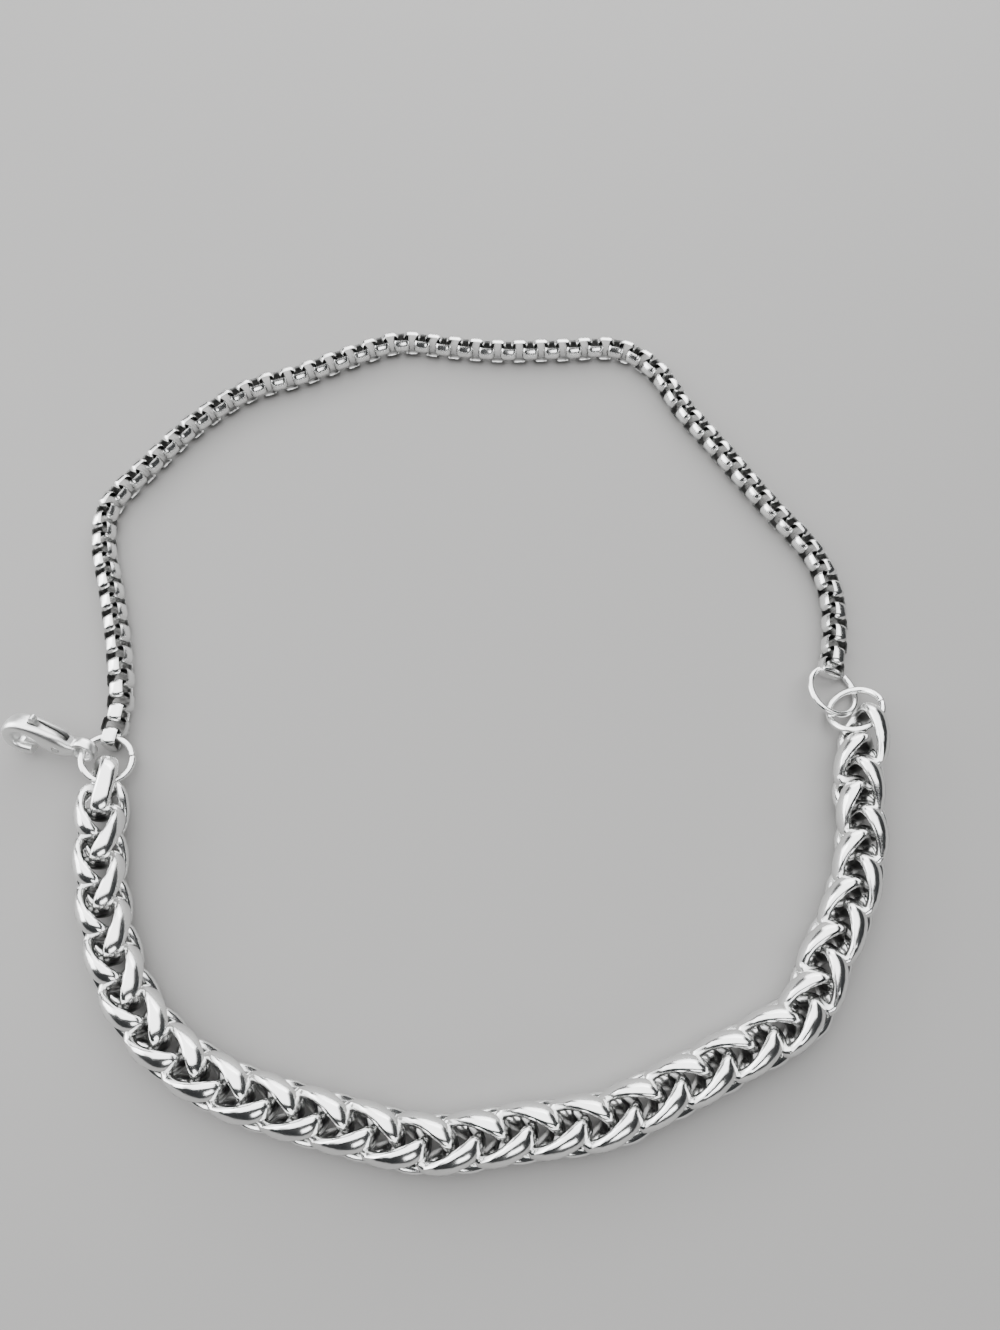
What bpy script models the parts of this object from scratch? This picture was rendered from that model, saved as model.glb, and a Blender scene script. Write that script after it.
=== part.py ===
"""Two-strand chain bracelet, laid open as a loop on a flat surface.

A thick wheat chain of twisted links runs round the near side and a slim box chain
runs round the far side. Both hang on one jump ring with a lobster clasp at the left,
and two more jump rings join them at the right. +Z is up and the piece rests on Z = 0.
"""

import math

import bmesh
import bpy
from mathutils import Matrix, Vector

MM = 0.001

# Air that meshed neighbours keep between them
GAP = 0.3 * MM

# Wheat chain: twisted oval links of flattened wire, each through the two before it
WHEAT_HALF_WIDTH = 2.5 * MM
WHEAT_WIRE_WIDTH = 2.0 * MM
WHEAT_WIRE_SIDE_THICK = 1.15 * MM
WHEAT_WIRE_END_THICK = 1.4 * MM
WHEAT_LINK_LENGTH = 5.4 * MM
WHEAT_SADDLE_SHARE = 0.2037
WHEAT_TAIL_ROUNDNESS = 2.2
WHEAT_HEAD_ROUNDNESS = 2.8
WHEAT_STATIONS = 12

# Each wheat link goes through the two before it, so the pitch is half a link and this slack
WHEAT_START_SLACK = 0.09 * MM
WHEAT_MIDDLE_SLACK = 0.03 * MM
WHEAT_END_SLACK = 0.27 * MM
WHEAT_ROLL_START = math.radians(-3.0)
WHEAT_ROLL_END = math.radians(12.0)
WHEAT_TAIL_TURN = math.radians(84.5)
WHEAT_HEAD_TURN = math.radians(14.0)
WHEAT_FIRST_TAIL_TURN = math.radians(40.0)
WHEAT_END_STRETCH = 0.9 * MM

# Outline of the flattened wire: across and outward, as shares of half its width and thickness
WHEAT_WIRE_FORM = [(1.0, 0.0), (0.5, 1.0), (-0.5, 1.0), (-1.0, 0.0), (-0.5, -1.0), (0.5, -1.0)]

# Box chain: square links of domed strip, here one tube with a real link at each end
BOX_WIDTH = 3.15 * MM
BOX_STRIP_THICK = 0.36 * MM
BOX_STRIP_WIDTH = 1.6 * MM
BOX_CORNER = 0.7 * MM
BOX_LIFT = 0.05 * MM
BOX_END_LINK_LENGTH = 2.45 * MM
BOX_LEFT_END_ROLL = math.radians(-6.0)
BOX_RIGHT_END_ROLL = math.radians(20.0)
BOX_TUBE_RESOLUTION = 2
BOX_TUBE_STEP = 2.0

# Outline of the domed strip: across and outward, as shares of half its width and thickness
BOX_STRIP_FORM = [(-1.0, -0.6), (-0.5, 1.0), (0.5, 1.0), (1.0, -0.6), (0.0, -1.0)]

# Jump rings of round wire, each with its cut
RING_WIRE = 0.82 * MM
LEFT_RING_OUTER = 6.54 * MM
BOX_RING_OUTER = 7.18 * MM
WHEAT_RING_OUTER = 7.09 * MM
RING_CUT = 0.15 * MM
RING_STEPS = 24
RING_SIDES = 8

# Lobster clasp
CLASP_LENGTH = 11.4 * MM
CLASP_DEPTH = 5.4 * MM
CLASP_THICK = 2.5 * MM
CLASP_SLOT = 1.0 * MM
CLASP_PLAY = 0.12 * MM
CLASP_EYE_OUTER = 3.2 * MM
CLASP_EYE_HOLE = 1.9 * MM
CLASP_EYE_THICK = 1.4 * MM
CLASP_EYE_STEPS = 16
RIVET_DIAMETER = 0.76 * MM
RIVET_PLAY = 0.08 * MM
RIVET_SIDES = 12
CLASP_HEADING = math.radians(168.0)
CLASP_LEAN = math.radians(23.0)

# Clasp sections: along and up as shares of length and depth, half depth as a share of
# depth, and thickness as a share of the clasp's
CLASP_SECTIONS = [
    # along, up, half depth, thickness
    (0.205, 0.380, 0.140, 0.60),
    (0.290, 0.425, 0.220, 0.88),
    (0.390, 0.500, 0.290, 1.00),
    (0.490, 0.610, 0.285, 1.00),
    (0.580, 0.755, 0.205, 1.00),
    (0.690, 0.850, 0.150, 1.00),
    (0.790, 0.845, 0.140, 0.98),
    (0.870, 0.775, 0.135, 0.94),
    (0.925, 0.630, 0.135, 0.88),
    (0.940, 0.450, 0.135, 0.84),
    (0.910, 0.270, 0.130, 0.80),
    (0.845, 0.160, 0.130, 0.76),
    (0.765, 0.132, 0.125, 0.74),
    (0.700, 0.130, 0.115, 0.72),
]

# Gate lever outline, as shares of the clasp's length and depth, from the gate's tip round
# under the rivet, up the back and out to the thumb tab
LEVER_OUTLINE = [
    (0.785, 0.330), (0.770, 0.292), (0.700, 0.284), (0.640, 0.250), (0.470, 0.250), (0.370, 0.295),
    (0.325, 0.370), (0.318, 0.480), (0.335, 0.590), (0.410, 0.730), (0.520, 0.850), (0.580, 0.950),
    (0.590, 1.110), (0.615, 1.160), (0.645, 1.130), (0.655, 0.960), (0.640, 0.860), (0.560, 0.740),
    (0.500, 0.620), (0.490, 0.510), (0.560, 0.410), (0.660, 0.385), (0.770, 0.390),
]

# Outlines of the clasp's bar and of its eye: outward and sideways, as shares of half each size
CLASP_BAR_FORM = [
    (1.0, 0.6), (0.6, 1.0), (-0.6, 1.0), (-1.0, 0.6), (-1.0, -0.6), (-0.6, -1.0), (0.6, -1.0), (1.0, -0.6),
]
CLASP_EYE_FORM = [(1.0, 0.45), (0.4, 1.0), (-1.0, 0.6), (-1.0, -0.6), (0.4, -1.0), (1.0, -0.45)]

# Clasp features, as shares of its length and depth
EYE_ALONG = 0.131
EYE_UP = 0.380
RIVET_ALONG = 0.385
RIVET_UP = 0.450
SLOT_START = 0.270
SLOT_END = 0.675

# Routes of the two chains on the table, in millimetres, from the left ring to the right
WHEAT_ROUTE = [
    (-40.1, -11.5), (-39.7, -16.0), (-39.0, -21.9), (-37.8, -27.5), (-36.1, -32.4), (-33.7, -37.2),
    (-30.2, -41.5), (-25.9, -44.8), (-21.0, -47.2), (-15.1, -49.0), (-9.9, -50.3), (-0.6, -52.1),
    (8.5, -51.1), (18.0, -49.7), (22.5, -47.8), (27.4, -45.6), (32.3, -43.2), (36.8, -40.9),
    (39.9, -38.2), (42.0, -34.0), (44.8, -29.2), (46.9, -24.2), (48.1, -19.0), (48.5, -13.6),
    (50.0, -8.0), (50.6, -4.9),
]
BOX_ROUTE = [
    (-40.4, -8.0), (-40.0, -3.8), (-40.5, -0.2), (-41.7, 5.2), (-43.7, 12.4), (-45.7, 19.1),
    (-45.9, 25.0), (-41.5, 31.8), (-35.5, 39.4), (-29.1, 44.6), (-22.2, 47.3), (-15.2, 50.6),
    (-8.1, 53.2), (-0.8, 52.4), (6.5, 51.7), (15.2, 51.9), (23.9, 51.9), (28.8, 48.2),
    (32.3, 41.4), (36.9, 34.3), (42.8, 25.0), (47.5, 18.0), (49.1, 12.4), (48.7, 5.4), (47.7, 1.3),
]

# Places of the rings and the clasp's eye on the table, in millimetres: centre, then the
# way that the ring's flat side faces
LEFT_RING_CENTRE = Vector((-40.35, -10.74, 2.14)) * MM
LEFT_RING_FACING = Vector((0.31, 0.07, 1.0))
LEFT_RING_CUT_ANGLE = math.radians(14.0)
BOX_RING_CENTRE = Vector((47.58, -1.76, 1.57)) * MM
BOX_RING_FACING = Vector((0.355, 0.109, 1.0))
BOX_RING_CUT_ANGLE = math.radians(52.0)
WHEAT_RING_CENTRE = Vector((49.73, -4.49, 2.30)) * MM
WHEAT_RING_FACING = Vector((-0.475, 0.396, 1.0))
WHEAT_RING_CUT_ANGLE = math.radians(2.0)
EYE_CENTRE = Vector((-43.02, -9.80, 2.86)) * MM

STEEL_COLOUR = (0.80, 0.80, 0.79, 1.0)
STEEL_ROUGHNESS = 0.16

# Least angle of an edge that stays sharp, and the part of a turn used to read a direction
SHARP_ANGLE = math.radians(40.0)
TURN_STEP = 0.02


def clear_scene():
    for thing in list(bpy.data.objects):
        bpy.data.objects.remove(thing, do_unlink=True)


def steel(name):
    """Polished stainless steel for one piece."""
    material = bpy.data.materials.new(name + "_steel")
    material.use_nodes = True
    shader = material.node_tree.nodes["Principled BSDF"]
    shader.inputs["Base Color"].default_value = STEEL_COLOUR
    shader.inputs["Metallic"].default_value = 1.0
    shader.inputs["Roughness"].default_value = STEEL_ROUGHNESS
    return material


def add_object(name, bm):
    """Store a bmesh as a named object with its own steel."""
    bmesh.ops.recalc_face_normals(bm, faces=bm.faces)
    mesh = bpy.data.meshes.new(name)
    bm.to_mesh(mesh)
    bm.free()
    mesh.shade_smooth()
    mesh.set_sharp_from_angle(angle=SHARP_ANGLE)
    thing = bpy.data.objects.new(name, mesh)
    mesh.materials.append(steel(name))
    bpy.context.collection.objects.link(thing)
    return thing


def as_cutter(thing):
    thing.hide_render = True
    thing.display_type = "WIRE"
    return thing


def boolean(thing, other, operation):
    """Join or cut thing with other, which stays as a hidden guide."""
    modifier = thing.modifiers.new(operation.lower() + "_" + other.name, "BOOLEAN")
    modifier.operation = operation
    modifier.solver = "EXACT"
    modifier.object = as_cutter(other)


def loft(bm, rings, closed):
    """Skin a list of equal rings of points; a closed loft ends where it begins."""
    rows = []
    for ring in rings:
        rows.append([bm.verts.new(point) for point in ring])
    count = len(rows[0])
    spans = len(rows) if closed else len(rows) - 1
    for i in range(spans):
        here = rows[i]
        after = rows[(i + 1) % len(rows)]
        for k in range(count):
            n = (k + 1) % count
            bm.faces.new((here[k], here[n], after[n], after[k]))
    if not closed:
        bm.faces.new(rows[0][::-1])
        bm.faces.new(rows[-1])


class Route:
    """A smooth curve through hand-chosen points, read by its own length."""

    def __init__(self, points, height, samples=40):
        knots = [Vector((x * MM, y * MM, height)) for x, y in points]
        knots = [knots[0] * 2.0 - knots[1]] + knots + [knots[-1] * 2.0 - knots[-2]]
        self.points = []
        for i in range(1, len(knots) - 2):
            for k in range(samples):
                self.points.append(self.blend(knots[i - 1:i + 3], k / samples))
        self.points.append(knots[-2])
        self.lengths = [0.0]
        for a, b in zip(self.points, self.points[1:]):
            self.lengths.append(self.lengths[-1] + (b - a).length)
        self.length = self.lengths[-1]

    @staticmethod
    def blend(knots, share):
        """Centripetal Catmull-Rom point between the two middle knots."""
        times = [0.0]
        for a, b in zip(knots, knots[1:]):
            times.append(times[-1] + math.sqrt((b - a).length))
        t = times[1] + (times[2] - times[1]) * share
        level = list(knots)
        for step in (1, 2, 3):
            merged = []
            for i in range(len(level) - 1):
                low = times[i] if step < 3 else times[1]
                high = times[i + step] if step < 3 else times[2]
                merged.append(level[i].lerp(level[i + 1], (t - low) / (high - low)))
            level = merged
        return level[0]

    def at(self, distance):
        """Point and direction at a distance along the curve."""
        distance = min(max(distance, 0.0), self.length)
        low, high = 0, len(self.lengths) - 1
        while high - low > 1:
            middle = (low + high) // 2
            if self.lengths[middle] <= distance:
                low = middle
            else:
                high = middle
        a, b = self.points[low], self.points[high]
        share = (distance - self.lengths[low]) / (self.lengths[high] - self.lengths[low])
        before = self.points[max(low - 2, 0)]
        after = self.points[min(high + 2, len(self.points) - 1)]
        return a.lerp(b, share), (after - before).normalized()

    def frame(self, distance, roll):
        """Matrix with X along the chain, Y up and Z to the loop's outside, rolled inwards."""
        place, along = self.at(distance)
        up = Vector((0.0, 0.0, 1.0))
        outer = along.cross(up).normalized()
        face = up * math.cos(roll) - outer * math.sin(roll)
        side = along.cross(face)
        matrix = Matrix((along, face, side)).transposed().to_4x4()
        matrix.translation = place
        return matrix


def signed_power(value, power):
    return math.copysign(abs(value) ** power, value)


def wheat_link_rings(length, tail_angle, head_angle):
    """Wire sections of one twisted link, along X, whose tail and head cross at two angles."""
    def planar(s):
        power = 2.0 / (WHEAT_TAIL_ROUNDNESS if math.cos(s) > 0.0 else WHEAT_HEAD_ROUNDNESS)
        reach = WHEAT_HALF_WIDTH * signed_power(math.sin(s), power)
        along = -0.5 * length * signed_power(math.cos(s), power)
        if math.cos(s) > 0.0:
            along -= WHEAT_SADDLE_SHARE * WHEAT_LINK_LENGTH * math.sin(2.0 * s) ** 2
        return along, reach

    def turn(s):
        share = planar(s)[0] / length + 0.5
        return tail_angle + (head_angle - tail_angle) * min(max(share, 0.0), 1.0)

    def centre(s):
        along, reach = planar(s)
        angle = turn(s)
        return Vector((along, reach * math.cos(angle), reach * math.sin(angle)))

    rings = []
    for k in range(WHEAT_STATIONS):
        s = math.tau * k / WHEAT_STATIONS
        middle = centre(s)
        tangent = (centre(s + TURN_STEP) - centre(s - TURN_STEP)).normalized()
        ahead = planar(s + TURN_STEP)
        behind = planar(s - TURN_STEP)
        out_along = -(ahead[1] - behind[1])
        out_reach = ahead[0] - behind[0]
        angle = turn(s)
        outward = Vector((out_along, out_reach * math.cos(angle), out_reach * math.sin(angle)))
        outward = (outward - tangent * outward.dot(tangent)).normalized()
        across = tangent.cross(outward)
        bulge = abs(math.cos(s)) ** 4
        thick = WHEAT_WIRE_SIDE_THICK + (WHEAT_WIRE_END_THICK - WHEAT_WIRE_SIDE_THICK) * bulge
        half = 0.5 * WHEAT_WIRE_WIDTH
        ring = []
        for wide, deep in WHEAT_WIRE_FORM:
            ring.append(middle + across * (half * wide) + outward * (0.5 * thick * deep))
        rings.append(ring)
    return rings


def wheat_places(route):
    """Distances of the links' centres: pitch changes gently from start to middle to end."""
    start = 0.5 * WHEAT_LINK_LENGTH + WHEAT_END_STRETCH
    room = route.length - 2.0 * start
    first = 0.5 * WHEAT_LINK_LENGTH + WHEAT_START_SLACK
    middle = 0.5 * WHEAT_LINK_LENGTH + WHEAT_MIDDLE_SLACK
    last = 0.5 * WHEAT_LINK_LENGTH + WHEAT_END_SLACK
    mean = (first + 4.0 * middle + last) / 6.0
    spans = 2 * round((room / mean + 1.0) / 2.0) - 1
    bend = 2.0 * (first + last - 2.0 * middle)
    slope = last - first - bend
    places = []
    for k in range(spans + 1):
        x = k / spans
        share = (first * x + slope * x ** 2 / 2.0 + bend * x ** 3 / 3.0) / mean
        places.append(start + room * share)
    return places


def make_wheat_chain():
    """Every third link goes into one of three sets, and the sets are joined to one body."""
    route = Route(WHEAT_ROUTE, WHEAT_HALF_WIDTH + 0.5 * WHEAT_WIRE_SIDE_THICK)
    sets = [bmesh.new(), bmesh.new(), bmesh.new()]
    places = wheat_places(route)
    for k, distance in enumerate(places):
        length = WHEAT_LINK_LENGTH
        tail = WHEAT_TAIL_TURN
        head = WHEAT_HEAD_TURN
        if k == 0:
            length += WHEAT_END_STRETCH
            distance -= 0.5 * WHEAT_END_STRETCH
            tail = WHEAT_FIRST_TAIL_TURN
        if k == len(places) - 1:
            length += WHEAT_END_STRETCH
            distance += 0.5 * WHEAT_END_STRETCH
        if k % 2 == 0:
            tail = math.pi - tail
            head = math.pi - head
        roll = WHEAT_ROLL_START + (WHEAT_ROLL_END - WHEAT_ROLL_START) * distance / route.length
        frame = route.frame(distance, roll)
        rings = wheat_link_rings(length, tail, head)
        loft(sets[k % 3], [[frame @ point for point in ring] for ring in rings], True)
    chain = add_object("wheat_chain", sets[0])
    boolean(chain, add_object("wheat_second_links", sets[1]), "UNION")
    boolean(chain, add_object("wheat_third_links", sets[2]), "UNION")


def make_box_tube(route, start, end):
    """Outer form of the box chain between its two end links, as one tube."""
    step = BOX_TUBE_STEP * BOX_WIDTH
    room = end - start
    count = max(2, round(room / step))
    curve = bpy.data.curves.new("box_chain", "CURVE")
    curve.dimensions = "3D"
    curve.bevel_depth = 0.5 * BOX_WIDTH
    curve.bevel_resolution = BOX_TUBE_RESOLUTION
    curve.use_fill_caps = True
    spline = curve.splines.new("POLY")
    spline.points.add(count)
    for i in range(count + 1):
        place = route.at(start + room * i / count)[0]
        spline.points[i].co = (place.x, place.y, place.z, 1.0)
    thing = bpy.data.objects.new("box_chain", curve)
    curve.materials.append(steel("box_chain"))
    bpy.context.collection.objects.link(thing)


def rounded_square_path(half_long, half_wide, corner, corner_steps):
    """Corner points of a rounded rectangle with its outward directions."""
    path = []
    for quarter in range(4):
        sx = 1.0 if quarter in (0, 3) else -1.0
        sy = 1.0 if quarter in (0, 1) else -1.0
        hub = (sx * (half_long - corner), sy * (half_wide - corner))
        for k in range(corner_steps + 1):
            angle = math.pi / 2.0 * (quarter + k / corner_steps)
            normal = (math.cos(angle), math.sin(angle))
            path.append(((hub[0] + corner * normal[0], hub[1] + corner * normal[1]), normal))
    return path


def make_end_link(name, route, distance, roll):
    """One closed square link of strip, its window facing across the chain."""
    frame = route.frame(distance, roll)
    inner_long = 0.5 * BOX_END_LINK_LENGTH - 0.5 * BOX_STRIP_THICK
    inner_wide = 0.5 * BOX_WIDTH - 0.5 * BOX_STRIP_THICK
    corner = BOX_CORNER - 0.5 * BOX_STRIP_THICK
    rings = []
    for (x, y), (nx, ny) in rounded_square_path(inner_long, inner_wide, corner, 2):
        ring = []
        for wide, deep in BOX_STRIP_FORM:
            out = 0.5 * BOX_STRIP_THICK * deep
            point = Vector((x + nx * out, y + ny * out, 0.5 * BOX_STRIP_WIDTH * wide))
            ring.append(frame @ point)
        rings.append(ring)
    bm = bmesh.new()
    loft(bm, rings, True)
    add_object(name, bm)


def make_ring(name, centre, facing, outer, cut_angle):
    """Jump ring of round wire, open by the width of its cut."""
    facing = facing.normalized()
    first = Vector((1.0, 0.0, 0.0))
    first = (first - facing * first.dot(facing)).normalized()
    second = facing.cross(first)
    radius = 0.5 * (outer - RING_WIRE)
    cut = RING_CUT / radius
    rings = []
    for k in range(RING_STEPS + 1):
        angle = cut_angle + 0.5 * cut + (math.tau - cut) * k / RING_STEPS
        out = first * math.cos(angle) + second * math.sin(angle)
        ring = []
        for j in range(RING_SIDES):
            turn = math.tau * (j + 0.5) / RING_SIDES
            ring.append(centre + out * (radius + 0.5 * RING_WIRE * math.cos(turn))
                        + facing * (0.5 * RING_WIRE * math.sin(turn)))
        rings.append(ring)
    bm = bmesh.new()
    loft(bm, rings, False)
    add_object(name, bm)


def clasp_frame():
    """Matrix of the clasp: X from its eye to its hook, Z to its back, Y its thickness."""
    turn = Matrix.Rotation(CLASP_HEADING, 4, "Z") @ Matrix.Rotation(CLASP_LEAN, 4, "X")
    eye = Vector((EYE_ALONG * CLASP_LENGTH, 0.0, EYE_UP * CLASP_DEPTH))
    return Matrix.Translation(EYE_CENTRE) @ turn @ Matrix.Translation(-eye)


def prism(bm, outline, half_thick, frame):
    """Flat outline in the clasp's plane, pulled to both sides."""
    near = [bm.verts.new(frame @ Vector((x, -half_thick, z))) for x, z in outline]
    far = [bm.verts.new(frame @ Vector((x, half_thick, z))) for x, z in outline]
    count = len(outline)
    for k in range(count):
        n = (k + 1) % count
        bm.faces.new((near[k], near[n], far[n], far[k]))
    bm.faces.new(near[::-1])
    bm.faces.new(far)


def round_outline(x, z, radius, sides):
    points = []
    for k in range(sides):
        angle = math.tau * (k + 0.5) / sides
        points.append((x + radius * math.cos(angle), z + radius * math.sin(angle)))
    return points


def make_clasp_body(frame):
    """Hook and cheeks as one lofted bar with its eye, slotted for the lever."""
    rings = []
    for i, (along, up, half, thick) in enumerate(CLASP_SECTIONS):
        before = CLASP_SECTIONS[max(i - 1, 0)]
        after = CLASP_SECTIONS[min(i + 1, len(CLASP_SECTIONS) - 1)]
        way = Vector(((after[0] - before[0]) * CLASP_LENGTH, 0.0, (after[1] - before[1]) * CLASP_DEPTH))
        normal = Vector((-way.z, 0.0, way.x)).normalized()
        middle = Vector((along * CLASP_LENGTH, 0.0, up * CLASP_DEPTH))
        ring = []
        for deep, wide in CLASP_BAR_FORM:
            point = middle + normal * (half * CLASP_DEPTH * deep)
            point.y = 0.5 * CLASP_THICK * thick * wide
            ring.append(frame @ point)
        rings.append(ring)
    bm = bmesh.new()
    loft(bm, rings, False)
    body = add_object("clasp_body", bm)

    eye_radius = 0.25 * (CLASP_EYE_OUTER + CLASP_EYE_HOLE)
    eye_wall = 0.25 * (CLASP_EYE_OUTER - CLASP_EYE_HOLE)
    centre = Vector((EYE_ALONG * CLASP_LENGTH, 0.0, EYE_UP * CLASP_DEPTH))
    rings = []
    for k in range(CLASP_EYE_STEPS):
        angle = math.tau * (k + 0.5) / CLASP_EYE_STEPS
        out = Vector((math.cos(angle), 0.0, math.sin(angle)))
        ring = []
        for deep, wide in CLASP_EYE_FORM:
            point = centre + out * (eye_radius + eye_wall * deep)
            point.y = 0.5 * CLASP_EYE_THICK * wide
            ring.append(frame @ point)
        rings.append(ring)
    bm = bmesh.new()
    loft(bm, rings, True)
    boolean(body, add_object("eye_loop", bm), "UNION")

    bm = bmesh.new()
    low = -CLASP_DEPTH
    high = 2.0 * CLASP_DEPTH
    start = SLOT_START * CLASP_LENGTH
    end = SLOT_END * CLASP_LENGTH
    prism(bm, [(start, low), (end, low), (end, high), (start, high)], 0.5 * CLASP_SLOT, frame)
    boolean(body, add_object("lever_slot", bm), "DIFFERENCE")

    bm = bmesh.new()
    bore = round_outline(RIVET_ALONG * CLASP_LENGTH, RIVET_UP * CLASP_DEPTH,
                         0.5 * RIVET_DIAMETER + RIVET_PLAY, RIVET_SIDES)
    prism(bm, bore, CLASP_THICK, frame)
    boolean(body, add_object("rivet_bore", bm), "DIFFERENCE")


def make_clasp_lever(frame):
    """Gate, thumb tab and rivet eye cut from one plate, turning on the rivet."""
    hub = frame @ Vector((RIVET_ALONG * CLASP_LENGTH, 0.0, RIVET_UP * CLASP_DEPTH))
    pivot = bpy.data.objects.new("lever_axis", None)
    pivot.location = hub
    bpy.context.collection.objects.link(pivot)
    to_hub = Matrix.Translation(-hub)

    half_thick = 0.5 * CLASP_SLOT - CLASP_PLAY
    bm = bmesh.new()
    outline = [(x * CLASP_LENGTH, z * CLASP_DEPTH) for x, z in LEVER_OUTLINE]
    prism(bm, outline, half_thick, to_hub @ frame)
    lever = add_object("clasp_lever", bm)
    lever.parent = pivot

    bm = bmesh.new()
    bore = round_outline(RIVET_ALONG * CLASP_LENGTH, RIVET_UP * CLASP_DEPTH,
                         0.5 * RIVET_DIAMETER + RIVET_PLAY, RIVET_SIDES)
    prism(bm, bore, CLASP_SLOT, to_hub @ frame)
    cutter = add_object("lever_bore", bm)
    cutter.parent = pivot
    boolean(lever, cutter, "DIFFERENCE")


def make_clasp_rivet(frame):
    bm = bmesh.new()
    outline = round_outline(RIVET_ALONG * CLASP_LENGTH, RIVET_UP * CLASP_DEPTH,
                            0.5 * RIVET_DIAMETER, RIVET_SIDES)
    prism(bm, outline, 0.5 * CLASP_THICK, frame)
    add_object("clasp_rivet", bm)


def main():
    clear_scene()
    make_wheat_chain()
    box = Route(BOX_ROUTE, 0.5 * BOX_WIDTH + BOX_LIFT)
    tube_start = 0.5 * BOX_END_LINK_LENGTH + GAP
    make_end_link("end_link_left", box, 0.0, BOX_LEFT_END_ROLL)
    make_box_tube(box, tube_start, box.length - tube_start)
    make_end_link("end_link_right", box, box.length, BOX_RIGHT_END_ROLL)
    make_ring("jump_ring_left", LEFT_RING_CENTRE, LEFT_RING_FACING, LEFT_RING_OUTER, LEFT_RING_CUT_ANGLE)
    make_ring("jump_ring_box", BOX_RING_CENTRE, BOX_RING_FACING, BOX_RING_OUTER, BOX_RING_CUT_ANGLE)
    make_ring("jump_ring_wheat", WHEAT_RING_CENTRE, WHEAT_RING_FACING, WHEAT_RING_OUTER,
              WHEAT_RING_CUT_ANGLE)
    frame = clasp_frame()
    make_clasp_body(frame)
    make_clasp_lever(frame)
    make_clasp_rivet(frame)


main()
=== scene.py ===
"""Looks of the double chain bracelet, laid open as a loop on a plain floor.

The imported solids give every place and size. Here the two chains are made link by link, the
jump rings and the clasp get their fine form, and everything gets its polished steel.
"""

import logging
import math
from dataclasses import dataclass, field
from enum import Enum
from typing import Any, Callable

import bmesh
import bpy
from mathutils import Matrix, Vector

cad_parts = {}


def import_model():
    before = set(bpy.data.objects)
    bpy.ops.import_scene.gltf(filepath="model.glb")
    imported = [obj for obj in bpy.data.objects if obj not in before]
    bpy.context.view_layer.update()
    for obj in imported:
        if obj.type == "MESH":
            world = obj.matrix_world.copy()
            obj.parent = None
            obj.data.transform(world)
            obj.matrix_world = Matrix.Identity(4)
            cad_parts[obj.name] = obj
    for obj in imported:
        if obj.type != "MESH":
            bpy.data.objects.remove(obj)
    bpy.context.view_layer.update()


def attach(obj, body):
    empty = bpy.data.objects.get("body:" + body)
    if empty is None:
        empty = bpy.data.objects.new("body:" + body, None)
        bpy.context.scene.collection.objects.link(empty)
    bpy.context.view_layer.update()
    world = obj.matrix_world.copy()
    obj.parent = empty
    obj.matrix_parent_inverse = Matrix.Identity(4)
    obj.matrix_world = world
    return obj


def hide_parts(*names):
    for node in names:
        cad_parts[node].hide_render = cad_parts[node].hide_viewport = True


MM: float = 0.001
Colour = tuple[float, float, float, float]
Placer = Callable[[float, float], tuple[Vector, float]]
log = logging.getLogger("bracelet")


class Body(Enum):
    """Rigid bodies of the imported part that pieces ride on."""

    BRACELET = "bracelet"
    LEVER = "lever"


class Signal:
    """One output socket of a shader, with arithmetic that adds Math nodes."""

    def __init__(self, sheet: "ShaderSheet", socket: bpy.types.NodeSocket) -> None:
        """Wrap a socket.

        Args:
            sheet: the sheet that the socket's node stands on.
            socket: the output socket.
        """
        self.sheet = sheet
        self.socket = socket

    def _math(self, operation: str, left: Any, right: Any) -> "Signal":
        """Add one Math node on two values and return its output."""
        return self.sheet.node("ShaderNodeMath", {"operation": operation}, {0: left, 1: right})

    def __add__(self, other: Any) -> "Signal":
        """Sum of this signal and a value."""
        return self._math("ADD", self, other)

    def __radd__(self, other: Any) -> "Signal":
        """Sum of a value and this signal."""
        return self._math("ADD", other, self)

    def __sub__(self, other: Any) -> "Signal":
        """This signal less a value."""
        return self._math("SUBTRACT", self, other)

    def __rsub__(self, other: Any) -> "Signal":
        """A value less this signal."""
        return self._math("SUBTRACT", other, self)

    def __mul__(self, other: Any) -> "Signal":
        """Product of this signal and a value."""
        return self._math("MULTIPLY", self, other)


class ShaderSheet:
    """A material with its Principled shader and one way to add nodes to it."""

    def __init__(self, name: str) -> None:
        """Make a new material of a given name."""
        self.material = bpy.data.materials.new(name)
        self.material.use_nodes = True
        self.tree = self.material.node_tree
        self.shader = self.tree.nodes["Principled BSDF"]

    def feed(self, socket: bpy.types.NodeSocket, value: Any) -> None:
        """Link a signal to a socket, or set the socket to a plain value."""
        if isinstance(value, Signal):
            self.tree.links.new(value.socket, socket)
        else:
            socket.default_value = value

    def node(self, kind: str, settings: dict[str, Any] | None = None,
             inputs: dict[Any, Any] | None = None, out: int | str = 0) -> Signal:
        """Add a node.

        Args:
            kind: the node's type.
            settings: its own settings; stops gives a ramp's places and greys.
            inputs: values or signals by socket name or number.
            out: the output that is wanted.

        Returns:
            The wanted output as a signal.
        """
        made = self.tree.nodes.new(kind)
        for key, value in (settings or {}).items():
            if key == "stops":
                for element, (position, grey) in zip(made.color_ramp.elements, value):
                    element.position = position
                    element.color = (grey, grey, grey, 1.0)
            else:
                setattr(made, key, value)
        for key, value in (inputs or {}).items():
            self.feed(made.inputs[key], value)
        return Signal(self, made.outputs[out])

    def blend(self, share: Signal, low: Colour, high: Colour) -> Signal:
        """Mix two colours by a signal between 0 and 1."""
        return self.node("ShaderNodeMix", {"data_type": "RGBA"}, {0: share, 6: low, 7: high}, 2)

    def dress(self, name: str, value: Any) -> None:
        """Feed one input of the Principled shader."""
        self.feed(self.shader.inputs[name], value)


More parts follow.
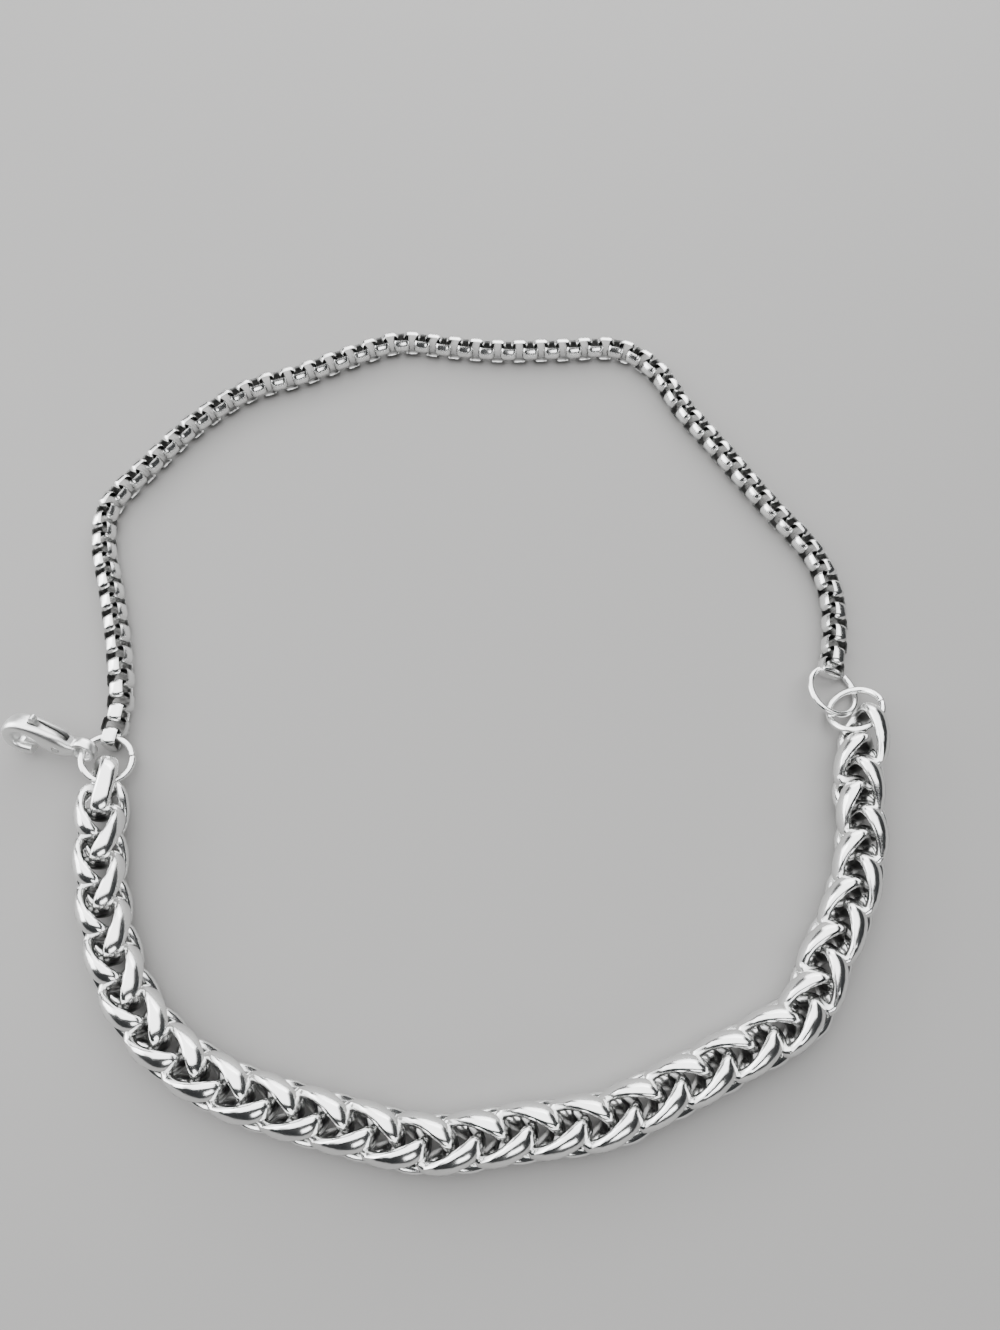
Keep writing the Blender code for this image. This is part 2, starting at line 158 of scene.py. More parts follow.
@dataclass(frozen=True)
class SteelFinish:
    """Polished stainless steel with painted shade: darker and duller in the hollows of the links and
    between parts.
    """

    name: str
    bright: Colour = (0.86, 0.865, 0.86, 1.0)
    # deep: the painted shade colour, for hollows and gaps between parts where open is low.
    deep: Colour = (0.10, 0.10, 0.098, 1.0)
    gloss: float = 0.10
    spread: float = 0.10
    ripple: float = 0.10
    scratch: float = 0.05
    cloud_scale: float = 380.0
    line_scale: float = 2600.0
    line_stretch: tuple[float, float, float] = (1.0, 5.0, 5.0)
    line_turn: tuple[float, float, float] = (0.3, 0.2, 0.7)
    line_share: float = 0.5
    speck_scale: float = 5200.0
    pit_edges: tuple[float, float] = (0.62, 0.74)
    pit_dark: float = 0.10
    pit_depth: float = 0.05
    # The next two scale the attribute open into the colour mask: a base share plus random cloud tone.
    lit_base: float = 0.88
    tone_swing: float = 0.24
    dulling: float = 0.16
    bump_strength: float = 0.22
    bump_depth: float = 0.12 * MM

    def noise(self, sheet: ShaderSheet, place: Signal, scale: float, detail: float) -> Signal:
        """Add a noise texture and return its value."""
        return sheet.node("ShaderNodeTexNoise", inputs={"Vector": place, "Scale": scale, "Detail": detail})

    def make(self) -> bpy.types.Material:
        """Build the material.

        Returns:
            Steel that reads the attribute open, which is 1 on outer metal and low in hollows and gaps,
            where it paints shade into the colour.
        """
        sheet = ShaderSheet(self.name)
        place = sheet.node("ShaderNodeTexCoord", out="Object")
        unshaded = sheet.node("ShaderNodeAttribute", {"attribute_name": "open"}, out="Fac")
        cloud = self.noise(sheet, place, self.cloud_scale, 3.0)
        hair = sheet.node("ShaderNodeMapping", inputs={"Vector": place, "Scale": self.line_stretch,
                                                       "Rotation": self.line_turn})
        lines = self.noise(sheet, hair, self.line_scale, 4.0)
        specks = self.noise(sheet, place, self.speck_scale, 2.0)
        stops = [(self.pit_edges[0], 0.0), (self.pit_edges[1], 1.0)]
        pits = sheet.node("ShaderNodeValToRGB", {"stops": stops}, {"Fac": specks})
        # Colour mask: painted shade from the attribute open, with random cloud tone and dark pits.
        mask = unshaded * (self.lit_base + cloud * self.tone_swing) - pits * self.pit_dark
        mask = sheet.node("ShaderNodeClamp", inputs={"Value": mask})
        sheet.dress("Base Color", sheet.blend(mask, self.deep, self.bright))
        sheet.dress("Metallic", 1.0)
        rough = self.gloss + cloud * self.spread + lines * (self.line_share * self.spread)
        sheet.dress("Roughness", rough + (1.0 - mask) * self.dulling)
        height = cloud * self.ripple + lines * self.scratch - pits * self.pit_depth
        bump = {"Height": height, "Strength": self.bump_strength, "Distance": self.bump_depth}
        sheet.dress("Normal", sheet.node("ShaderNodeBump", inputs=bump, out="Normal"))
        return sheet.material


@dataclass(frozen=True)
class FloorFinish:
    """Plain pale floor with the faintest mottling."""

    name: str = "pale_floor"
    light: Colour = (0.205, 0.203, 0.200, 1.0)
    shade: Colour = (0.188, 0.186, 0.183, 1.0)
    cloud_scale: float = 9.0
    roughness: float = 0.62

    def make(self) -> bpy.types.Material:
        """Build the floor's material."""
        sheet = ShaderSheet(self.name)
        place = sheet.node("ShaderNodeTexCoord", out="Object")
        inputs = {"Vector": place, "Scale": self.cloud_scale, "Detail": 4.0}
        cloud = sheet.node("ShaderNodeTexNoise", inputs=inputs)
        sheet.dress("Base Color", sheet.blend(cloud, self.shade, self.light))
        sheet.dress("Roughness", self.roughness)
        return sheet.material


def signed_power(value: float, power: float) -> float:
    """Power of a number that keeps its sign."""
    return math.copysign(abs(value) ** power, value)


def smooth_share(share: float) -> float:
    """Ease a share between 0 and 1 in and out."""
    share = min(max(share, 0.0), 1.0)
    return share * share * (3.0 - 2.0 * share)


def catmull(knots: list[Vector], share: float) -> Vector:
    """Centripetal Catmull-Rom point.

    Args:
        knots: four knots, the curve running from the second to the third.
        share: the way along, from 0 to 1.

    Returns:
        The point.
    """
    times = [0.0]
    for a, b in zip(knots, knots[1:]):
        times.append(times[-1] + math.sqrt((b - a).length))
    t = times[1] + (times[2] - times[1]) * share
    level = list(knots)
    for step in (1, 2, 3):
        merged = []
        for i in range(len(level) - 1):
            low = times[i] if step < 3 else times[1]
            high = times[i + step] if step < 3 else times[2]
            merged.append(level[i].lerp(level[i + 1], (t - low) / (high - low)))
        level = merged
    return level[0]


class Route:
    """A smooth curve on the table through given points, read by its own length."""

    def __init__(self, points: list[tuple[float, float]], height: float, samples: int = 40) -> None:
        """Lay the curve.

        Args:
            points: places on the table in millimetres.
            height: the curve's height above the table in metres.
            samples: steps between two points.
        """
        knots = [Vector((x * MM, y * MM, height)) for x, y in points]
        knots = [knots[0] * 2.0 - knots[1]] + knots + [knots[-1] * 2.0 - knots[-2]]
        self.points = [catmull(knots[i - 1:i + 3], k / samples)
                       for i in range(1, len(knots) - 2) for k in range(samples)]
        self.points.append(knots[-2])
        self.lengths = [0.0]
        for a, b in zip(self.points, self.points[1:]):
            self.lengths.append(self.lengths[-1] + (b - a).length)
        self.length = self.lengths[-1]

    def at(self, distance: float) -> tuple[Vector, Vector]:
        """Point and direction at a distance along the curve."""
        distance = min(max(distance, 0.0), self.length)
        low, high = 0, len(self.lengths) - 1
        while high - low > 1:
            middle = (low + high) // 2
            if self.lengths[middle] <= distance:
                low = middle
            else:
                high = middle
        a, b = self.points[low], self.points[high]
        share = (distance - self.lengths[low]) / (self.lengths[high] - self.lengths[low])
        before = self.points[max(low - 2, 0)]
        after = self.points[min(high + 2, len(self.points) - 1)]
        return a.lerp(b, share), (after - before).normalized()

    def frame(self, distance: float, roll: float) -> Matrix:
        """Matrix with X along the chain and Y up, rolled about the chain.

        Args:
            distance: how far along the curve.
            roll: turn about the chain in radians.

        Returns:
            The place and turn of a link.
        """
        place, along = self.at(distance)
        up = Vector((0.0, 0.0, 1.0))
        outer = along.cross(up).normalized()
        face = up * math.cos(roll) - outer * math.sin(roll)
        matrix = Matrix((along, face, along.cross(face))).transposed().to_4x4()
        matrix.translation = place
        return matrix


class WireMaker:
    """Makes loops of wire: a circle is spun to a ring, and the ring is bent to its form."""

    def __init__(self, stations: int, sides: int) -> None:
        """Spin the plain ring that every loop of this kind starts from.

        Args:
            stations: sections round the loop.
            sides: faces round the wire.
        """
        bm = bmesh.new()
        turn = Matrix.Translation((1.0, 0.0, 0.0)) @ Matrix.Rotation(math.pi / 2.0, 4, "X")
        bmesh.ops.create_circle(bm, segments=sides, radius=0.4, matrix=turn)
        bmesh.ops.spin(bm, geom=bm.verts[:] + bm.edges[:], cent=(0.0, 0.0, 0.0), axis=(0.0, 0.0, 1.0),
                       angle=math.tau, steps=stations, use_merge=True)
        self.plain = bpy.data.meshes.new("plain_ring")
        bm.to_mesh(self.plain)
        bm.free()

    def add(self, bm: bmesh.types.BMesh, placer: Placer, layer: Any) -> None:
        """Add one loop to a mesh.

        Args:
            bm: the mesh that gets the loop.
            placer: gives a point's place and openness from its angle round the loop and its
                angle round the wire, 0 being the outside.
            layer: the float layer that holds the openness.
        """
        start = len(bm.verts)
        bm.from_mesh(self.plain)
        bm.verts.ensure_lookup_table()
        for vert in bm.verts[start:]:
            x, y, z = vert.co
            vert.co, vert[layer] = placer(math.atan2(y, x), math.atan2(z, math.hypot(x, y) - 1.0))


def finish_piece(name: str, bm: bmesh.types.BMesh, material: bpy.types.Material, body: Body,
                 replaced: tuple[str, ...], sharp: float = 42.0) -> bpy.types.Object:
    """Store a mesh as a finished piece that rides on its body.

    Args:
        name: the piece's name.
        bm: its mesh, which is freed.
        material: its finish.
        body: the body that carries it.
        replaced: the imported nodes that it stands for.
        sharp: least angle in degrees of an edge that stays sharp.

    Returns:
        The piece.
    """
    bmesh.ops.recalc_face_normals(bm, faces=bm.faces)
    mesh = bpy.data.meshes.new(name)
    bm.to_mesh(mesh)
    bm.free()
    mesh.materials.append(material)
    mesh.shade_smooth()
    mesh.set_sharp_from_angle(angle=math.radians(sharp))
    piece = bpy.data.objects.new(name, mesh)
    bpy.context.collection.objects.link(piece)
    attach(piece, body.value)
    if replaced:
        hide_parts(*replaced)
    log.info("%s: %d faces on %s", name, len(mesh.polygons), body.value)
    return piece


def open_layer(bm: bmesh.types.BMesh) -> Any:
    """Add the layer open: each point's share of the bright colour, low where painted shade darkens hollows
    and gaps between parts.
    """
    return bm.verts.layers.float.new("open")


@dataclass
class WheatChain:
    """Thick strand of twisted oval links of flattened wire, each hooked to the next."""

    finish: bpy.types.Material
    pitch_start: float = 2.79 * MM
    pitch_middle: float = 2.73 * MM
    pitch_end: float = 2.97 * MM
    half_width: float = 2.5 * MM
    height: float = 3.075 * MM
    wire_width: float = 2.1 * MM
    side_thick: float = 1.2 * MM
    end_thick: float = 1.4 * MM
    link_length: float = 5.4 * MM
    saddle: float = 1.1 * MM
    first_saddle: float = 0.2 * MM
    tail_power: float = 2.0 / 2.2
    head_power: float = 2.0 / 2.8
    wire_power: float = 2.0 / 2.5
    roll_start: float = math.radians(-3.0)
    roll_end: float = math.radians(12.0)
    tail_turn: float = math.radians(84.5)
    head_turn: float = math.radians(14.0)
    first_tail_turn: float = math.radians(40.0)
    end_stretch: float = 0.9 * MM
    bulge_power: int = 4
    # Painted shade: metal close to the chain's axis, inside the links, is darkest, growing bright over the
    # next field's distance.
    shade_reach: float = 0.9 * MM
    shade_fade: float = 1.3 * MM
    stations: int = 36
    sides: int = 12
    step: float = 0.02
    points: list[tuple[float, float]] = field(default_factory=lambda: [
        (-40.1, -11.5), (-39.7, -16.0), (-39.0, -21.9), (-37.8, -27.5), (-36.1, -32.4), (-33.7, -37.2),
        (-30.2, -41.5), (-25.9, -44.8), (-21.0, -47.2), (-15.1, -49.0), (-9.9, -50.3), (-0.6, -52.1),
        (8.5, -51.1), (18.0, -49.7), (22.5, -47.8), (27.4, -45.6), (32.3, -43.2), (36.8, -40.9),
        (39.9, -38.2), (42.0, -34.0), (44.8, -29.2), (46.9, -24.2), (48.1, -19.0), (48.5, -13.6),
        (50.0, -8.0), (50.6, -4.9)])

    def places(self, route: Route) -> list[float]:
        """Distances of the links' centres along a route, with a gently changing pitch."""
        start = 0.5 * self.link_length + self.end_stretch
        room = route.length - 2.0 * start
        mean = (self.pitch_start + 4.0 * self.pitch_middle + self.pitch_end) / 6.0
        spans = 2 * round((room / mean + 1.0) / 2.0) - 1
        bend = 2.0 * (self.pitch_start + self.pitch_end - 2.0 * self.pitch_middle)
        slope = self.pitch_end - self.pitch_start - bend
        found = []
        for k in range(spans + 1):
            x = k / spans
            share = (self.pitch_start * x + slope * x ** 2 / 2.0 + bend * x ** 3 / 3.0) / mean
            found.append(start + room * share)
        return found

    def placer(self, frame: Matrix, length: float, saddle: float, tail: float, head: float) -> Placer:
        """Form of one twisted link.

        Args:
            frame: the link's place.
            length: tail to head on the wire's centreline.
            saddle: how far the tail reaches past that length beside its middle.
            tail: the tail's angle about the chain.
            head: the head's angle about the chain.

        Returns:
            A function that bends a plain ring to the link.
        """
        def planar(s: float) -> tuple[float, float]:
            power = self.tail_power if math.cos(s) > 0.0 else self.head_power
            reach = self.half_width * signed_power(math.sin(s), power)
            along = -0.5 * length * signed_power(math.cos(s), power)
            if math.cos(s) > 0.0:
                along -= saddle * math.sin(2.0 * s) ** 2
            return along, reach

        def turn(s: float) -> float:
            share = planar(s)[0] / length + 0.5
            return tail + (head - tail) * min(max(share, 0.0), 1.0)

        def centre(s: float) -> Vector:
            along, reach = planar(s)
            return Vector((along, reach * math.cos(turn(s)), reach * math.sin(turn(s))))

        known: dict[float, tuple[Vector, Vector, Vector, float]] = {}

        def section(s: float) -> tuple[Vector, Vector, Vector, float]:
            key = round(s, 4)
            if key not in known:
                tangent = (centre(s + self.step) - centre(s - self.step)).normalized()
                ahead, behind = planar(s + self.step), planar(s - self.step)
                reach = ahead[0] - behind[0]
                angle = turn(s)
                outward = Vector((behind[1] - ahead[1], reach * math.cos(angle), reach * math.sin(angle)))
                outward = (outward - tangent * outward.dot(tangent)).normalized()
                bulge = abs(math.cos(s)) ** self.bulge_power
                thick = self.side_thick + (self.end_thick - self.side_thick) * bulge
                known[key] = (centre(s), tangent.cross(outward), outward, thick)
            return known[key]

        def place(s: float, t: float) -> tuple[Vector, float]:
            middle, across, outward, thick = section(s)
            point = middle + outward * (0.5 * thick * signed_power(math.cos(t), self.wire_power))
            point = point + across * (0.5 * self.wire_width * signed_power(math.sin(t), self.wire_power))
            # Painted shade: points near the chain's axis, inside the links, get a low open value and so a
            # darker colour.
            depth = math.hypot(point.y, point.z)
            return frame @ point, smooth_share((depth - self.shade_reach) / self.shade_fade)

        return place

    def build(self) -> bpy.types.Object:
        """Make all the links as one piece."""
        route = Route(self.points, self.height)
        maker = WireMaker(self.stations, self.sides)
        bm = bmesh.new()
        layer = open_layer(bm)
        places = self.places(route)
        last = len(places) - 1
        for k, distance in enumerate(places):
            length, saddle, tail, head = self.link_length, self.saddle, self.tail_turn, self.head_turn
            if k in (0, last):
                length += self.end_stretch
                distance += 0.5 * self.end_stretch * (1.0 if k else -1.0)
            if k == 0:
                saddle, tail = self.first_saddle, self.first_tail_turn
            if k % 2 == 0:
                tail, head = math.pi - tail, math.pi - head
            roll = self.roll_start + (self.roll_end - self.roll_start) * distance / route.length
            maker.add(bm, self.placer(route.frame(distance, roll), length, saddle, tail, head), layer)
        return finish_piece("wheat_links", bm, self.finish, Body.BRACELET, ("wheat_chain",))


@dataclass
class BoxChain:
    """Slim strand of square links of domed strip, each turned a quarter from the next."""

    finish: bpy.types.Material
    width: float = 3.15 * MM
    lift: float = 0.05 * MM
    strip_thick: float = 0.36 * MM
    strip_width: float = 1.6 * MM
    corner: float = 0.7 * MM
    link_length: float = 2.45 * MM
    spans: int = 111
    left_roll: float = math.radians(-6.0)
    middle_roll: float = math.radians(27.0)
    right_roll: float = math.radians(20.0)
    roll_run: float = 14.0 * MM
    corner_ease: float = 0.125
    inner_rise: float = 0.7
    across_reach: float = 1.155
    # Painted shade: the next two make the inner, flat face of each link darker than its outer dome.
    middle_open: float = 0.5
    open_swing: float = 0.9
    stations: int = 16
    sides: int = 6
    points: list[tuple[float, float]] = field(default_factory=lambda: [
        (-40.4, -8.0), (-40.0, -3.8), (-40.5, -0.2), (-41.7, 5.2), (-43.7, 12.4), (-45.7, 19.1),
        (-45.9, 25.0), (-41.5, 31.8), (-35.5, 39.4), (-29.1, 44.6), (-22.2, 47.3), (-15.2, 50.6),
        (-8.1, 53.2), (-0.8, 52.4), (6.5, 51.7), (15.2, 51.9), (23.9, 51.9), (28.8, 48.2),
        (32.3, 41.4), (36.9, 34.3), (42.8, 25.0), (47.5, 18.0), (49.1, 12.4), (48.7, 5.4), (47.7, 1.3)])

    def roll_at(self, distance: float, length: float) -> float:
        """Turn of the chain about itself at a distance along it."""
        from_left = smooth_share(distance / self.roll_run)
        to_right = smooth_share((distance - length + self.roll_run) / self.roll_run)
        roll = self.left_roll + (self.middle_roll - self.left_roll) * from_left
        return roll + (self.right_roll - self.middle_roll) * to_right

    def outline(self, s: float) -> tuple[Vector, Vector]:
        """Middle of the strip and its way outwards.

        Args:
            s: angle round the link.

        Returns:
            Two vectors in the link's plane.
        """
        corner = self.corner - 0.5 * self.strip_thick
        half_long = 0.5 * (self.link_length - self.strip_thick) - corner
        half_wide = 0.5 * (self.width - self.strip_thick) - corner
        quarter = math.floor(s / (0.5 * math.pi)) % 4
        share = (s / (0.5 * math.pi)) % 1.0
        eased = smooth_share((share - self.corner_ease) / (1.0 - 2.0 * self.corner_ease))
        angle = 0.5 * math.pi * (quarter + eased)
        out = Vector((math.cos(angle), math.sin(angle), 0.0))
        hub = Vector((half_long if quarter in (0, 3) else -half_long,
                      half_wide if quarter in (0, 1) else -half_wide, 0.0))
        return hub + out * corner, out

    def placer(self, frame: Matrix) -> Placer:
        """Form of one square link: domed outside, flat inside."""
        def place(s: float, t: float) -> tuple[Vector, float]:
            middle, out = self.outline((s + math.pi / self.stations) % math.tau)
            rise = math.cos(t)
            lean = 1.0 if rise > 0.0 else self.inner_rise
            across = max(-1.0, min(1.0, self.across_reach * math.sin(t)))
            point = middle + out * (0.5 * self.strip_thick * lean * rise)
            point.z = 0.5 * self.strip_width * across
            # Painted shade: the outer dome is open and bright, the inner face darker.
            return frame @ point, smooth_share(self.middle_open + self.open_swing * rise)

        return place

    def build(self) -> bpy.types.Object:
        """Make all the links as one piece."""
        route = Route(self.points, 0.5 * self.width + self.lift)
        maker = WireMaker(self.stations, self.sides)
        bm = bmesh.new()
        layer = open_layer(bm)
        for k in range(self.spans + 1):
            distance = route.length * k / self.spans
            frame = route.frame(distance, self.roll_at(distance, route.length))
            if k % 2:
                frame = frame @ Matrix.Rotation(0.5 * math.pi, 4, "X")
            maker.add(bm, self.placer(frame), layer)
        return finish_piece("box_links", bm, self.finish, Body.BRACELET,
                            ("box_chain", "end_link_left", "end_link_right"), 50.0)


@dataclass
class JumpRing:
    """Ring of round wire with its cut."""

    name: str
    finish: bpy.types.Material
    centre: Vector
    facing: Vector
    outer: float
    cut_angle: float
    wire: float = 0.82 * MM
    cut: float = 0.15 * MM
    chamfer: float = 0.06 * MM
    steps: int = 72
    sides: int = 18

    def build(self) -> bpy.types.Object:
        """Spin the wire round to its cut and break the cut's edges."""
        facing = self.facing.normalized()
        first = Vector((1.0, 0.0, 0.0))
        first = (first - facing * first.dot(facing)).normalized()
        radius = 0.5 * (self.outer - self.wire)
        gap = self.cut / radius
        bm = bmesh.new()
        layer = open_layer(bm)
        start = Matrix.Rotation(0.5 * math.pi, 4, "X")
        start.translation = (radius, 0.0, 0.0)
        bmesh.ops.create_circle(bm, segments=self.sides, radius=0.5 * self.wire, matrix=start)
        bmesh.ops.spin(bm, geom=bm.verts[:] + bm.edges[:], cent=(0.0, 0.0, 0.0), axis=(0.0, 0.0, 1.0),
                       angle=math.tau - gap, steps=self.steps)
        rims = [edge for edge in bm.edges if len(edge.link_faces) == 1]
        bmesh.ops.holes_fill(bm, edges=rims, sides=self.sides)
        bmesh.ops.bevel(bm, geom=rims, offset=self.chamfer, affect="EDGES", segments=2, profile=0.5,
                        material=-1)
        for vert in bm.verts:
            vert[layer] = 1.0
        place = Matrix((first, facing.cross(first), facing)).transposed().to_4x4()
        place.translation = self.centre
        place = place @ Matrix.Rotation(self.cut_angle + 0.5 * gap, 4, "Z")
        bmesh.ops.transform(bm, matrix=place, verts=bm.verts)
        return finish_piece(self.name + "_wire", bm, self.finish, Body.BRACELET, (self.name,))


@dataclass
class Clasp:
    """Lobster clasp: hooked bar with an eye, a lever in its slot and a rivet."""

    finish: bpy.types.Material
    # Darker copy of the steel for the lever and rivet in the slot: painted shade.
    shaded_inner_finish: bpy.types.Material
    length: float = 11.4 * MM
    depth: float = 5.4 * MM
    thick: float = 2.5 * MM
    slot: float = 1.0 * MM
    play: float = 0.12 * MM
    eye_outer: float = 3.2 * MM
    eye_hole: float = 1.9 * MM
    eye_thick: float = 1.4 * MM
    rivet: float = 0.76 * MM
    rivet_play: float = 0.08 * MM
    heading: float = math.radians(168.0)
    lean: float = math.radians(23.0)
    eye_along: float = 0.131
    eye_up: float = 0.380
    rivet_along: float = 0.385
    rivet_up: float = 0.450
    slot_start: float = 0.270
    slot_end: float = 0.675
    eye_centre: Vector = field(default_factory=lambda: Vector((-43.02, -9.80, 2.86)) * MM)
    bar_sides: int = 24
    bar_power: float = 2.0 / 3.0
    eye_power: float = 0.8
    steps_between: int = 4
    bar_end_round: float = 0.12 * MM
    slot_corner: float = 0.3 * MM
    lever_ease: float = 0.05 * MM
    rivet_ease: float = 0.05 * MM
    weld: float = 0.002 * MM
    # Painted shade: low open values darken the slot's walls and the lever and rivet in it.
    slot_open: float = 0.35
    gate_open: float = 0.9
    sections: list[tuple[float, float, float, float]] = field(default_factory=lambda: [
        (0.205, 0.380, 0.140, 0.60), (0.290, 0.425, 0.220, 0.88), (0.390, 0.500, 0.290, 1.00),
        (0.490, 0.610, 0.285, 1.00), (0.580, 0.755, 0.205, 1.00), (0.690, 0.850, 0.150, 1.00),
        (0.790, 0.845, 0.140, 0.98), (0.870, 0.775, 0.135, 0.94), (0.925, 0.630, 0.135, 0.88),
        (0.940, 0.450, 0.135, 0.84), (0.910, 0.270, 0.130, 0.80), (0.845, 0.160, 0.130, 0.76),
        (0.765, 0.132, 0.125, 0.74), (0.700, 0.130, 0.115, 0.72)])
    lever_outline: list[tuple[float, float]] = field(default_factory=lambda: [
        (0.785, 0.330), (0.770, 0.292), (0.700, 0.284), (0.640, 0.250), (0.470, 0.250), (0.370, 0.295),
        (0.325, 0.370), (0.318, 0.480), (0.335, 0.590), (0.410, 0.730), (0.520, 0.850), (0.580, 0.950),
        (0.590, 1.110), (0.615, 1.160), (0.645, 1.130), (0.655, 0.960), (0.640, 0.860), (0.560, 0.740),
        (0.500, 0.620), (0.490, 0.510), (0.560, 0.410), (0.660, 0.385), (0.770, 0.390)])

    @property
    def frame(self) -> Matrix:
        """Place of the clasp: X from eye to hook, Z to its back, Y its thickness."""
        turn = Matrix.Rotation(self.heading, 4, "Z") @ Matrix.Rotation(self.lean, 4, "X")
        eye = Vector((self.eye_along * self.length, 0.0, self.eye_up * self.depth))
        return Matrix.Translation(self.eye_centre) @ turn @ Matrix.Translation(-eye)

    @property
    def hub(self) -> Vector:
        """Middle of the rivet in the clasp's own place."""
        return Vector((self.rivet_along * self.length, 0.0, self.rivet_up * self.depth))

    def stations(self) -> list[tuple[Vector, float, float]]:
        """Smoothed sections of the bar: middle, half depth and half thickness."""
        knots = [Vector((a * self.length, u * self.depth, h * self.depth, 0.5 * t * self.thick))
                 for a, u, h, t in self.sections]
        knots = [knots[0] * 2.0 - knots[1]] + knots + [knots[-1] * 2.0 - knots[-2]]
        rows = []
        for i in range(1, len(knots) - 2):
            for k in range(self.steps_between):
                rows.append(catmull(knots[i - 1:i + 3], k / self.steps_between))
        rows.append(knots[-2])
        return [(Vector((row[0], 0.0, row[1])), row[2], row[3]) for row in rows]

    def as_object(self, name: str, bm: bmesh.types.BMesh) -> bpy.types.Object:
        """Put a mesh into the scene as a helper object, which combine removes again."""
        bmesh.ops.recalc_face_normals(bm, faces=bm.faces)
        mesh = bpy.data.meshes.new(name)
        bm.to_mesh(mesh)
        bm.free()
        thing = bpy.data.objects.new(name, mesh)
        bpy.context.collection.objects.link(thing)
        return thing

    def combine(self, thing: bpy.types.Object,
                others: list[tuple[bpy.types.Object, str]]) -> bmesh.types.BMesh:
        """Join and cut helpers and give the result.

        Args:
            thing: the object that is worked on, which is removed.
            others: helper objects with UNION or DIFFERENCE, which are removed.

        Returns:
            The result as a new mesh.
        """
        for other, operation in others:
            modifier = thing.modifiers.new(operation.lower(), "BOOLEAN")
            modifier.operation = operation
            modifier.solver = "EXACT"
            modifier.object = other
        graph = bpy.context.evaluated_depsgraph_get()
        bm = bmesh.new()
        bm.from_mesh(thing.evaluated_get(graph).to_mesh())
        for used in [thing] + [other for other, _ in others]:
            bpy.data.objects.remove(used, do_unlink=True)
        bmesh.ops.remove_doubles(bm, verts=bm.verts, dist=self.weld)
        return bm

    def bar(self) -> bpy.types.Object:
        """Hooked bar, pulled section by section from one ring of points."""
        bm = bmesh.new()
        rows = self.stations()
        bmesh.ops.create_circle(bm, segments=self.bar_sides, radius=1.0)
        edges = bm.edges[:]
        angles = [math.atan2(vert.co.y, vert.co.x) for vert in bm.verts]
        verts = bm.verts[:]
        for i, (middle, half, wide) in enumerate(rows):
            way = rows[min(i + 1, len(rows) - 1)][0] - rows[max(i - 1, 0)][0]
            normal = Vector((-way.z, 0.0, way.x)).normalized()
            if i:
                grown = bmesh.ops.extrude_edge_only(bm, edges=edges)["geom"]
                edges = [e for e in grown if isinstance(e, bmesh.types.BMEdge)]
                verts = [v for v in grown if isinstance(v, bmesh.types.BMVert)]
                edges = [e for e in edges if all(v in verts for v in e.verts)]
            for vert, angle in zip(verts, angles):
                point = middle + normal * (half * signed_power(math.cos(angle), self.bar_power))
                point.y = wide * signed_power(math.sin(angle), self.bar_power)
                vert.co = point
        rims = [edge for edge in bm.edges if len(edge.link_faces) == 1]
        bmesh.ops.holes_fill(bm, edges=rims, sides=self.bar_sides)
        bmesh.ops.bevel(bm, geom=rims, offset=self.bar_end_round, affect="EDGES", segments=3, profile=0.5,
                        material=-1)
        return self.as_object("bar", bm)

    def eye(self) -> bpy.types.Object:
        """Eye loop with a soft, domed wall."""
        bm = bmesh.new()
        layer = open_layer(bm)
        radius = 0.25 * (self.eye_outer + self.eye_hole)
        wall = 0.25 * (self.eye_outer - self.eye_hole)
        middle = Vector((self.eye_along * self.length, 0.0, self.eye_up * self.depth))

        def place(s: float, t: float) -> tuple[Vector, float]:
            out = Vector((math.cos(s), 0.0, math.sin(s)))
            point = middle + out * (radius + wall * signed_power(math.cos(t), self.eye_power))
            point.y = 0.5 * self.eye_thick * signed_power(math.sin(t), self.eye_power)
            return point, 1.0

        WireMaker(40, 14).add(bm, place, layer)
        return self.as_object("eye", bm)

    def slot_tool(self) -> bpy.types.Object:
        """Block that opens the lever's slot."""
        bm = bmesh.new()
        middle = Vector((0.5 * (self.slot_start + self.slot_end) * self.length, 0.0, 0.5 * self.depth))
        size = Vector(((self.slot_end - self.slot_start) * self.length, self.slot, 3.0 * self.depth))
        place = Matrix.Translation(middle) @ Matrix.Diagonal(size).to_4x4()
        bmesh.ops.create_cube(bm, size=1.0, matrix=place)
        upright = [e for e in bm.edges if abs(e.verts[0].co.z - e.verts[1].co.z) > self.depth]
        bmesh.ops.bevel(bm, geom=upright, offset=self.slot_corner, affect="EDGES", segments=4, profile=0.5,
                        material=-1)
        return self.as_object("slot_tool", bm)

    def pin(self, name: str, radius: float, length: float, rim: float) -> bpy.types.Object:
        """Round bar across the clasp at the rivet."""
        bm = bmesh.new()
        place = Matrix.Translation(self.hub) @ Matrix.Rotation(0.5 * math.pi, 4, "X")
        bmesh.ops.create_cone(bm, cap_ends=True, segments=32, radius1=radius, radius2=radius, depth=length,
                              matrix=place)
        if rim:
            ends = [e for e in bm.edges if abs(e.verts[0].co.y - e.verts[1].co.y) < 0.01 * MM]
            bmesh.ops.bevel(bm, geom=ends, offset=rim, affect="EDGES", segments=3, profile=0.5, material=-1)
        return self.as_object(name, bm)

    def dress(self, name: str, bm: bmesh.types.BMesh, body: Body, node: str, finish: bpy.types.Material,
              openness: Callable[[Vector], float]) -> bpy.types.Object:
        """Take a mesh of the clasp's own place to the table and finish it."""
        layer = bm.verts.layers.float.get("open") or open_layer(bm)
        for vert in bm.verts:
            vert[layer] = openness(vert.co)
        bmesh.ops.transform(bm, matrix=self.frame, verts=bm.verts)
        return finish_piece(name, bm, finish, body, (node,), 34.0)

